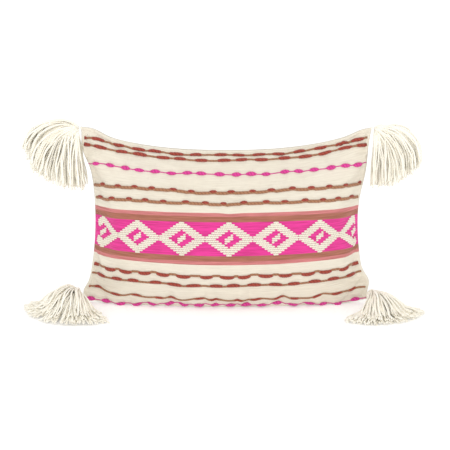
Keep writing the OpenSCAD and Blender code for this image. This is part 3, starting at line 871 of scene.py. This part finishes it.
def make_insert():
    us = eased(INSERT_COLUMNS)
    vs = eased(INSERT_ROWS)[:, None]
    for side, node in ((FRONT, "insert_front_panel"), (BACK, "insert_back_panel")):
        u, v = np.broadcast_arrays(us, vs)
        outer = insert_surface(u, v, side, INSERT_DEPTH)
        inner = insert_surface(u, v, side, INSERT_DEPTH + CASING_T)
        wave = CASING_LUMP * np.sin(17 * u + 3 * v) * np.sin(13 * v - 2 * u) * (1 - u * u) * (1 - v * v)
        outer[..., 1] -= side * np.abs(wave)
        inner[..., 1] -= side * np.abs(wave)
        flat = np.stack([u * HALF_W, v * HALF_H], axis=-1)
        panel = shell("visual_" + node, outer, inner, flat, side)
        finish_piece(panel, "pillow", CASING, "insert_casing", node)
    u, v = np.broadcast_arrays(us, vs)
    front, back = (insert_surface(u, v, side, FILL_DEPTH) for side in (FRONT, BACK))
    tuft = FILLING_LUMP * np.abs(np.sin(31 * u + 5 * v) * np.sin(27 * v + 4 * u)) * (1 - u * u) * (1 - v * v)
    front[..., 1] += tuft
    back[..., 1] -= tuft
    filling = shell("visual_insert_filling", front, back, np.stack([u, v], axis=-1), FRONT)
    finish_piece(filling, "pillow", FILLING, "fibre_filling", "insert_filling")
    insert_stitches()


# ---- Zip ----

COIL_R = 1.05 * MM
COIL_WIRE_R = 0.3 * MM
COIL_PITCH = 1.9 * MM
COIL_SUNK = 0.6 * MM       # its middle lies this far inside the cloth
COIL_GAP = 0.45 * MM       # from the closing line to the coil
HEM_STITCH = 3.2 * MM
HEM_STITCH_UP = ZIP_OPENING + 2.6 * MM


def zip_point(angle, out, up):
    """A point by the zip: angle round its arc, distance out of the cloth and up along it."""
    radius = ZIP_R + out * math.cos(ZIP_TILT) + up * math.sin(ZIP_TILT)
    z = ZIP_Z + up * math.cos(ZIP_TILT) - out * math.sin(ZIP_TILT)
    x = -radius * np.sin(angle)
    y = ZIP_AXIS.y + radius * np.cos(angle)
    return np.stack([x, y, np.broadcast_to(z, x.shape)], axis=-1)


def zip_coil(node, up_side):
    """A coil of nylon wire, wound along one tape's edge."""
    box_low, box_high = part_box(node)
    half = (box_high[0] - box_low[0]) / 2
    reach = math.asin(half / ZIP_R)
    turns = int(2 * reach * ZIP_R / COIL_PITCH)
    t = np.linspace(0, 1, turns * 10 + 1)
    turn = 2 * math.pi * turns * t
    winding = COIL_R - COIL_WIRE_R
    out = winding * np.cos(turn) - COIL_SUNK
    up = up_side * (COIL_GAP + COIL_R + winding * np.sin(turn))
    path = zip_point(-reach + 2 * reach * t, out, up)
    centre = zip_point(-reach + 2 * reach * t, -COIL_SUNK, up_side * (COIL_GAP + COIL_R))
    tubes = Tubes()
    tubes.add(tube_rings(path, COIL_WIRE_R, 6, unit(path - centre)))
    yarn_piece(tubes, "pillow", NYLON, "zip_coil", node)


def zip_stitching():
    """Running stitches that hold each folded hem to its tape."""
    tubes = Tubes()
    angle_step = HEM_STITCH / ZIP_R
    count = int(2 * ZIP_HALF_ANGLE / angle_step) - 1
    for up_side in (-1, 1):
        for i in range(count):
            middle = -ZIP_HALF_ANGLE + (i + 0.8) * angle_step
            t = np.linspace(-0.36, 0.36, 7)
            lift = 0.28 * MM * np.cos(t * math.pi / 0.72) - 0.05 * MM
            path = zip_point(middle + t * angle_step, lift + 0.1 * MM, up_side * HEM_STITCH_UP)
            out = zip_point(middle + t * angle_step, 5 * MM, up_side * HEM_STITCH_UP) - path
            tubes.add(tube_rings(path, 0.3 * MM, 8, out))
    yarn_piece(tubes, "pillow", THREAD, "sewing_thread", "zip_stitching")


def make_zip():
    zip_coil("zip_coil_upper", 1)
    zip_coil("zip_coil_lower", -1)
    zip_stitching()
    looks = {"zip_tape_upper": TAPE, "zip_tape_lower": TAPE, "zip_stop_closed_end": NICKEL,
             "zip_stop_open_end": NICKEL, "zip_slider": NICKEL, "zip_pull": NICKEL}
    for node, material in looks.items():
        mesh = frame["nodes"][node].data
        mesh.materials.clear()
        mesh.materials.append(material)


# ---- Yarns on the front ----

YARN_END = 0.985
FLOOR_GAP = 6 * MM
RING_STEP = 1.3 * MM


def yarn_places():
    """Distances from the middle of the front, one for each ring of a yarn."""
    end = HALF_W * YARN_END
    return np.linspace(-end, end, int(2 * end / RING_STEP))


def wobble(seed, s, wave, size):
    """A slow random wander of about that size, in metres, along a yarn."""
    dice = random.Random(seed)
    total = np.zeros_like(s)
    for k in range(1, 4):
        total += math.pow(k, -0.7) * np.sin(2 * math.pi * s * k / wave + dice.uniform(0, 6.3))
    return total * size / 2


def end_sag(u, v):
    """How far a line of weft drops towards the side seams, most of all above the middle."""
    return END_SAG * (1 + np.clip(1.5 * v, 0, 1)) * np.abs(u) ** 4


def lay_yarn(tubes, v, radius, tint, up=0.0, lift=0.0, flatness=0.7, sides=10, plies=2, depth=0.1):
    """A yarn along the front at height v. radius, tint, up and lift may vary along it."""
    s = yarn_places()
    u = s / HALF_W
    radius = np.broadcast_to(radius, s.shape)
    lifted = lift + flatness * radius * 0.62
    vv = np.maximum(v + (up - end_sag(u, v)) / HALF_H, v_at_height(u, FLOOR_GAP))
    normals = outward(u, vv)
    centres = surface(u, vv) + normals * lifted[:, None]
    tubes.add(tube_rings(centres, radius, sides, normals, flatness, plies, 1 / (6 * MM), depth), tint)


def varied_beads(seed, pitch, length, spread=0.12):
    """Beads whose place, length and fullness differ from one to the next, as hand spinning gives."""
    dice = random.Random(seed)
    s = yarn_places()
    fullness = np.zeros_like(s)
    start = -HALF_W - dice.uniform(0, pitch)
    while start < HALF_W:
        middle = start + dice.uniform(-spread, spread) * pitch
        half = length / 2 * dice.uniform(1 - spread, 1 + spread)
        size = dice.uniform(0.86, 1.08)
        profile = np.clip(1 - (np.abs(s - middle) / half) ** 2.2, 0, 1) ** 0.6
        fullness = np.maximum(fullness, size * profile)
        start += pitch
    return fullness


def rust_line(name, v, seed, arch=0.0, bead_r=3.3):
    """Brick-red thick places linked by a thin tan yarn, which may arch above them."""
    tubes = Tubes()
    s = yarn_places()
    beads = varied_beads(seed, 35 * MM, 23 * MM)
    link = 1 - np.clip(beads, 0, 1)
    sway = wobble(seed + 50, s, 180 * MM, 1.6 * MM)
    lay_yarn(tubes, v, (1.8 + (bead_r - 1.8) * beads) * MM, link * 0.7, up=sway + arch * MM * (link - 0.4))
    lay_yarn(tubes, v, 1.0 * MM, 1.0, up=sway + (arch + 1.4) * MM * (link - 0.3), lift=0.2 * MM, sides=8)
    yarn_piece(tubes, "pillow", RUST_YARN, "rust_yarn", name)


def tan_line(name, v, seed):
    """A thick tan slub with a brick-red yarn that humps over it."""
    tubes = Tubes()
    s = yarn_places()
    humps = varied_beads(seed, 34 * MM, 13 * MM, 0.08)
    sway = wobble(seed + 50, s, 200 * MM, 1.2 * MM)
    thin = np.clip(humps, 0, 1)
    lay_yarn(tubes, v, (2.75 - 0.9 * thin) * MM, 1.0, up=sway - 0.9 * MM)
    lay_yarn(tubes, v, (0.7 + 1.9 * humps) * MM, 0.0, up=sway + (0.9 + 1.3 * thin) * MM, lift=0.3 * MM)
    yarn_piece(tubes, "pillow", RUST_YARN, "tan_yarn", name)


def pink_line(name, v, seed):
    """Lozenge-shaped pink thick places on a thin thread."""
    tubes = Tubes()
    s = yarn_places()
    beads = varied_beads(seed, 27.5 * MM, 17 * MM, 0.1)
    sway = wobble(seed + 50, s, 160 * MM, 2.2 * MM)
    lay_yarn(tubes, v, (0.85 + 2.9 * beads ** 1.4) * MM, 0.0, up=sway)
    yarn_piece(tubes, "pillow", PINK_SLUB, "pink_yarn", name)


def brown_line(name, v, seed):
    tubes = Tubes()
    s = yarn_places()
    beads = varied_beads(seed, 35 * MM, 20 * MM, 0.2)
    sway = wobble(seed + 50, s, 110 * MM, 3.0 * MM)
    lay_yarn(tubes, v, (1.7 + 0.8 * beads) * MM, 1 - beads * 0.75, up=sway)
    yarn_piece(tubes, "pillow", RUST_YARN, "tan_yarn", name)


def make_yarn_lines():
    rust_line("rust_slub_top_outer", 0.962, 1)
    rust_line("rust_slub_top_inner", 0.89, 2)
    pink_line("pink_slub_upper", 0.68, 3)
    tan_line("tan_slub_upper_outer", 0.43, 4)
    tan_line("tan_slub_upper_inner", 0.275, 5)
    rust_line("rust_slub_lower_inner", -0.52, 6, arch=2.4)
    rust_line("rust_slub_lower_outer", -0.62, 7, arch=-1.6)
    brown_line("brown_slub_lower", -0.8, 8)
    pink_line("pink_slub_lower", -0.935, 9)


# ---- Brocade: floats of cream yarn, laid in rows that draw a chain of stepped diamonds ----

BAND_MIDDLE = -19.5 * MM
DIAMOND_SHIFT = 4 * MM
DIAMOND_PITCH = 80 * MM
ROW_PITCH = 3.1 * MM
FLOAT_STEP = 5 * MM        # each row's floats end this much nearer the diamond's middle than the last
ROWS_EACH_WAY = 8
INNER_ROWS = 4.3           # rows each way of the pink diamond inside the cream one
HEART_ROWS = 2
JOIN = 1.3 * MM            # neighbouring diamonds run this far into each other


def row_spans(row):
    """The cream stretches of one row in one diamond, as (from, to) distances from its middle."""
    outer = min(FLOAT_STEP * (ROWS_EACH_WAY + 1 - abs(row)), DIAMOND_PITCH / 2 + JOIN)
    inner = FLOAT_STEP * (INNER_ROWS - abs(row))
    heart = FLOAT_STEP / 2 * (HEART_ROWS + 1 - abs(row))
    if inner <= 0:
        return [(-outer, outer)]
    spans = [(-outer, -inner), (inner, outer)]
    if heart > 0:
        shift = FLOAT_STEP / 2 * row
        spans.append((shift - heart, shift + heart))
    return spans


def float_yarn(tubes, start, end, up, seed):
    """One raised float from start to end, dipping where the warp ties it down."""
    dice = random.Random(seed)
    count = max(7, int((end - start) / (0.8 * MM)))
    across = np.linspace(start, end, count)
    u = across / HALF_W
    v = (BAND_MIDDLE + up - end_sag(u, 0)) / HALF_H
    from_end = np.minimum(across - start, end - across)
    rounded = np.sqrt(np.clip(from_end / (1.8 * MM), 0.02, 1))
    tied = 0.5 + 0.5 * np.cos(2 * math.pi * (across + dice.uniform(-1, 1) * MM) / (6.2 * MM))
    radius = (1.76 + dice.uniform(-0.08, 0.1)) * MM * rounded * (1 - 0.1 * tied)
    normals = outward(u, v)
    centres = surface(u, v) + normals * (0.55 * MM - 0.2 * MM * tied)[:, None]
    tubes.add(tube_rings(centres, radius, 8, normals, 0.72, 2, 1 / (4 * MM), 0.06), dice.uniform(0, 1))


def make_brocade():
    tubes = Tubes()
    edge = YARN_END * HALF_W - 1 * MM
    reach = int(math.ceil(edge / DIAMOND_PITCH))
    for k in range(-reach, reach + 1):
        centre = DIAMOND_SHIFT + k * DIAMOND_PITCH
        for row in range(-ROWS_EACH_WAY, ROWS_EACH_WAY + 1):
            for i, (low, high) in enumerate(row_spans(row)):
                low, high = max(centre + low, -edge), min(centre + high, edge)
                if high - low > 2 * MM:
                    float_yarn(tubes, low, high, row * ROW_PITCH, 1000 * (k + 9) + 10 * (row + 20) + i)
    yarn_piece(tubes, "pillow", BROCADE, "brocade_yarn", "diamond_brocade")


# ---- Tassels ----

HEAD_R = 7 * MM
NECK_R = 5 * MM
HEAD_FROM_CORNER = 15.4 * MM
WRAP_FROM_CORNER = 23.6 * MM
NECK_FROM_CORNER = 26 * MM
CORE_R = 1.2 * MM         # the thinnest that the head's core gets
YARN_R = 1.45 * MM
STRAND_POINTS = 26
STRAND_SIDES = 7
OVER_HEAD_SHARE = 0.5     # of the yarns, those that fall over the outside of the head
STRANDS = 450
HEAD_YARNS = 26
WRAP_TURNS = 5
WRAP_PITCH = 1.05 * MM


def steady_axes(way):
    """Two axes square to a direction."""
    direction = Vector(way)
    guide = Vector((0, 1, 0)) if abs(direction.y) < 0.7 else Vector((1, 0, 0))
    first = direction.cross(guide).normalized()
    return np.array(first), np.array(direction.cross(first).normalized())


def place_in_neck(neck, axes):
    """Where a strand leaves the neck: anywhere in its round section."""
    turn, rim = DICE.uniform(0, 2 * math.pi), (NECK_R - YARN_R) * math.sqrt(DICE.random())
    return neck + rim * (math.cos(turn) * axes[0] + math.sin(turn) * axes[1])


def tassel_loop(name, corner, way):
    """A twisted cord from inside the pillow's corner to the tassel's head, with a knot at each end."""
    s = np.linspace(-1.5 * MM, 9.5 * MM, 30)
    path = corner + s[:, None] * way
    knots = np.exp(-((s - 2.4 * MM) / (1.1 * MM)) ** 2) + np.exp(-((s - 6.6 * MM) / (1.1 * MM)) ** 2)
    normals = np.broadcast_to(steady_axes(way)[0], path.shape)
    tubes = Tubes()
    radii = 1.15 * MM + 0.55 * MM * knots
    tubes.add(tube_rings(path, radii, 14, normals, plies=2, turns=1 / (7 * MM), depth=0.16), 0.5)
    yarn_piece(tubes, name + "_cord", TASSEL_YARN, "tassel_yarn", name + "_loop")


def tassel_head(name, corner, way):
    """Yarns folded over the top of the head and gathered in at the neck."""
    first, second = steady_axes(way)
    centre = corner + way * HEAD_FROM_CORNER
    tubes = Tubes()
    for k in range(HEAD_YARNS):
        angle = 2 * math.pi * k / HEAD_YARNS + DICE.uniform(-0.04, 0.04)
        polar = np.linspace(math.radians(8), math.radians(142), 14)
        out = math.cos(angle) * first + math.sin(angle) * second
        radius = (HEAD_R - 1.0 * MM) * DICE.uniform(0.97, 1.03)
        path = centre + radius * (-np.cos(polar)[:, None] * way + np.sin(polar)[:, None] * out)
        neck = centre + way * (NECK_FROM_CORNER - HEAD_FROM_CORNER) + out * (NECK_R - 1.1 * MM)
        t = np.linspace(0.2, 1, 5)[:, None]
        path = np.concatenate([path, path[-1] * (1 - t) + neck * t])
        tubes.add(tube_rings(path, 1.02 * MM, 7, path - centre), DICE.uniform(0, 1))
    core_from = -HEAD_R + 1.6 * MM
    core = centre + way * np.linspace(core_from, HEAD_R, 16)[:, None]
    core_at = np.linspace(core_from, HEAD_R - 2 * MM, 16)
    core_r = np.sqrt(np.maximum((HEAD_R - 1.1 * MM) ** 2 - core_at ** 2, CORE_R ** 2))
    tubes.add(tube_rings(core, core_r, 16, np.broadcast_to(first, core.shape)), 0.9)
    yarn_piece(tubes, name, TASSEL_YARN, "tassel_yarn", name + "_head")


def tassel_wrap(name, corner, way):
    """The turns of yarn that bind the neck."""
    first, second = steady_axes(way)
    t = np.linspace(0, 1, WRAP_TURNS * 28)
    angle = 2 * math.pi * WRAP_TURNS * t
    along = WRAP_FROM_CORNER + (t - 0.5) * (WRAP_TURNS - 1) * WRAP_PITCH
    out = np.cos(angle)[:, None] * first + np.sin(angle)[:, None] * second
    centre = corner + along[:, None] * way
    path = centre + out * (NECK_R + 0.5 * MM)
    tubes = Tubes()
    tubes.add(tube_rings(path, 0.62 * MM, 8, out), 0.4)
    yarn_piece(tubes, name, TASSEL_YARN, "tassel_yarn", name + "_wrap")


def walk(start, directions, step, floor=None):
    """Points along a path that takes one step in each direction and slides along the floor."""
    points = [start]
    for way in directions:
        way = way / np.linalg.norm(way)
        ahead = points[-1] + way * step
        if floor is not None and ahead[2] < floor:
            level = np.array([way[0], way[1], 0.0])
            ahead = points[-1] + level / max(np.linalg.norm(level), 0.2) * step
            ahead[2] = floor
        points.append(ahead)
    return np.array(points)


def smooth(points, times=2):
    for _ in range(times):
        points[1:-1] = (points[:-2] + 2 * points[1:-1] + points[2:]) / 4
    return points


def ripple(points, size, reference):
    """Gives a strand a gentle wave of its own."""
    t = np.linspace(0, 1, len(points))
    tangents = unit(np.gradient(points, axis=0))
    side = unit(np.cross(tangents, reference))
    other = np.cross(side, tangents)
    wave = size * t * np.sin(2 * math.pi * (t * DICE.uniform(1.2, 2.8) + DICE.random()))
    cross_wave = size * t * np.sin(2 * math.pi * (t * DICE.uniform(1.2, 2.8) + DICE.random()))
    return points + side * wave[:, None] + other * cross_wave[:, None]


def add_strand(tubes, points, reference):
    radius = YARN_R * DICE.uniform(0.88, 1.12)
    t = np.linspace(0, 1, len(points))
    radii = radius * (1 - 0.25 * np.exp(-t / 0.06)) * np.where(t > 0.98, 0.8, 1.0)
    normals = np.broadcast_to(reference, points.shape)
    rings = tube_rings(points, radii, STRAND_SIDES, normals, plies=2, turns=1 / (18 * MM), depth=0.1)
    tubes.add(rings, DICE.random())


def hanging_skirt(name, corner, way, lift_angle, tuck_angle, length, fall):
    """A fan of yarns from the neck: some arch up and out and over, some hang straight down."""
    tubes = Tubes()
    neck = corner + way * NECK_FROM_CORNER
    axes = steady_axes(way)
    sideways = np.array((0.0, 1.0, 0.0))
    down = np.array((0.0, 0.0, -1.0))
    for i in range(STRANDS):
        share = (i + DICE.random()) / STRANDS
        start_angle = math.radians(lift_angle + (tuck_angle - lift_angle) * share ** 0.85)
        end_angle = math.radians(fall + (tuck_angle - fall) * share)
        yaw = math.radians(DICE.gauss(0, 14))
        if DICE.random() < OVER_HEAD_SHARE:
            from_corner = DICE.uniform(4.5, 15) * MM
            rim = DICE.uniform(0.5, 1.0) * HEAD_R
            out = math.sin(start_angle) * down + DICE.uniform(-0.7, 0.7) * sideways
            start = corner + way * from_corner + rim * out
        else:
            start = place_in_neck(neck, axes) - way * 4 * MM
        t = np.linspace(0, 1, STRAND_POINTS - 1) ** 0.9
        angle = start_angle + (end_angle - start_angle) * t
        yaws = yaw * (1 - 0.6 * t)
        ways = [math.cos(y) * (math.cos(a) * way + math.sin(a) * down) + math.sin(y) * sideways
                for a, y in zip(angle, yaws)]
        points = walk(start, ways, length * DICE.uniform(0.93, 1.04) / (STRAND_POINTS - 1))
        add_strand(tubes, ripple(smooth(points), 1.1 * MM, sideways), sideways)
    yarn_piece(tubes, name, TASSEL_YARN, "tassel_yarn", name + "_skirt")


def lying_skirt(name, corner, way, turns, rises, falls, length, pile, bulge):
    """A heap of yarns that rise from the neck, fall to the floor and end towards the front.

    turns, rises and falls are each a pair: the angles of the strands at one end of the range and at
    the other. turns is the spread seen from above, rises is the climb at the neck of the lowest and
    the highest strands, and falls is the slope at which those two end. Over 1, bulge makes a dome.
    """
    tubes = Tubes()
    neck = corner + way * NECK_FROM_CORNER
    axes = steady_axes(way)
    sideways = np.array((1.0, 0.0, 0.0))
    heading = math.atan2(way[1], way[0])
    for i in range(STRANDS):
        layer = (i + DICE.random()) / STRANDS
        spread = 2 * DICE.random() - 1
        widest = turns[1] if spread > 0 else -turns[0]
        turn_end = heading + math.radians(abs(spread) ** 0.8 * widest)
        crown = math.sqrt(max(0.0, 1 - spread * spread * 0.9))
        rise = math.radians(rises[0] + (rises[1] - rises[0]) * layer * crown)
        drop = math.radians(falls[0] + (falls[1] - falls[0]) * layer)
        start = place_in_neck(neck, axes)
        start -= way * DICE.uniform(4, 7.5) * MM
        start[2] = max(start[2], YARN_R)
        t = np.linspace(0, 1, STRAND_POINTS - 1)
        climb = rise + (drop - rise) * t ** bulge
        plan = heading + (turn_end - heading) * np.minimum(1, 0.35 + t * 1.2)
        ways = [np.array([math.cos(p) * math.cos(c), math.sin(p) * math.cos(c), math.sin(c)])
                for p, c in zip(plan, climb)]
        ways[0] = way
        floor = YARN_R + pile * layer * crown * DICE.uniform(0.3, 1.0)
        points = walk(start, ways, length * DICE.uniform(0.9, 1.05) / (STRAND_POINTS - 1), floor)
        points = ripple(smooth(points), 1.1 * MM, sideways)
        points[:, 2] = np.maximum(points[:, 2], YARN_R * 1.12)
        add_strand(tubes, points, sideways)
    yarn_piece(tubes, name, TASSEL_YARN, "tassel_yarn", name + "_skirt")


def make_tassel(corner_name, first_joint, second_joint, skirt, *shape):
    """One tassel, on the corner that its first joint turns about and towards its second joint."""
    name = "tassel_" + corner_name
    corner = joint_at[name + first_joint]
    way = np.array((joint_at[name + second_joint] - corner).normalized())
    corner = np.array(corner)
    for part in (tassel_loop, tassel_head, tassel_wrap):
        part(name, corner, way)
    skirt(name, corner, way, *shape)


def make_tassels():
    make_tassel("tl", "_out", "_swing", hanging_skirt, -42, 98, 100 * MM, 78)
    make_tassel("tr", "_out", "_swing", hanging_skirt, -26, 94, 95 * MM, 90)
    make_tassel("bl", "_sweep", "_lift", lying_skirt,
                (84, 62), (2, 52), (-10, -84), 100 * MM, 28 * MM, 1.5)
    make_tassel("br", "_sweep", "_lift", lying_skirt,
                (54, 64), (-36, 36), (-28, -60), 104 * MM, 18 * MM, 1.2)


# ---- Stage ----

FLOOR_REACH = 6.0
FLOOR_GLOW = 0.16          # the sheet under the pillow is nearly as white as the light that it gets
CAMERA_LENS = 129.9
CAMERA_SENSOR = 36
CAMERA_TARGET = Vector((-2.6 * MM, 0, 142 * MM))
CAMERA_DISTANCE = 2.8
CAMERA_ELEVATION = math.radians(17.5)


def make_floor():
    points = [(x * FLOOR_REACH, y * FLOOR_REACH, 0) for x, y in ((-1, -1), (1, -1), (1, 1), (-1, 1))]
    floor = make_object("floor", points, [[0, 1, 2, 3]])
    look = Look("floor_paper", 0.95, Specular_IOR_Level=0.0)
    grain = look.noise(look.place(), 3.0, 2)
    look.colour(look.mix(grain, (0.93, 0.93, 0.93), (0.95, 0.95, 0.95)))
    look.shader.inputs["Emission Color"].default_value = (1, 1, 1, 1)
    look.shader.inputs["Emission Strength"].default_value = FLOOR_GLOW
    floor.data.materials.append(look.material)
    floor.location.z = -0.2 * MM


def area_light(name, place, aim, size, power):
    light = bpy.data.lights.new(name, "AREA")
    light.shape = "SQUARE"
    light.size = size
    light.energy = power
    lamp = bpy.data.objects.new(name, light)
    lamp.location = place
    lamp.rotation_euler = (Vector(aim) - Vector(place)).to_track_quat("-Z", "Y").to_euler()
    bpy.context.scene.collection.objects.link(lamp)


def make_lights():
    world = bpy.data.worlds.new("soft_white")
    bpy.context.scene.world = world
    world.use_nodes = True
    background = world.node_tree.nodes["Background"]
    background.inputs["Color"].default_value = (1, 1, 1, 1)
    background.inputs["Strength"].default_value = 1.0
    area_light("key", (-0.8, -2.7, 1.6), (0, 0, 0.13), 1.7, 20)
    area_light("fill", (1.7, -2.0, 0.6), (0, 0, 0.12), 1.8, 9)


def make_camera():
    data = bpy.data.cameras.new("camera")
    data.lens = CAMERA_LENS
    data.sensor_width = CAMERA_SENSOR
    camera = bpy.data.objects.new("camera", data)
    from_target = Vector((0, -math.cos(CAMERA_ELEVATION), math.sin(CAMERA_ELEVATION)))
    camera.location = CAMERA_TARGET + CAMERA_DISTANCE * from_target
    camera.rotation_euler = (CAMERA_TARGET - camera.location).to_track_quat("-Z", "Y").to_euler()
    bpy.context.scene.collection.objects.link(camera)
    bpy.context.scene.camera = camera


make_camera()
make_cover()
seam_stitches()
make_insert()
make_zip()
make_yarn_lines()
make_brocade()
make_tassels()
make_floor()
make_lights()
bpy.context.scene.view_settings.view_transform = "Standard"
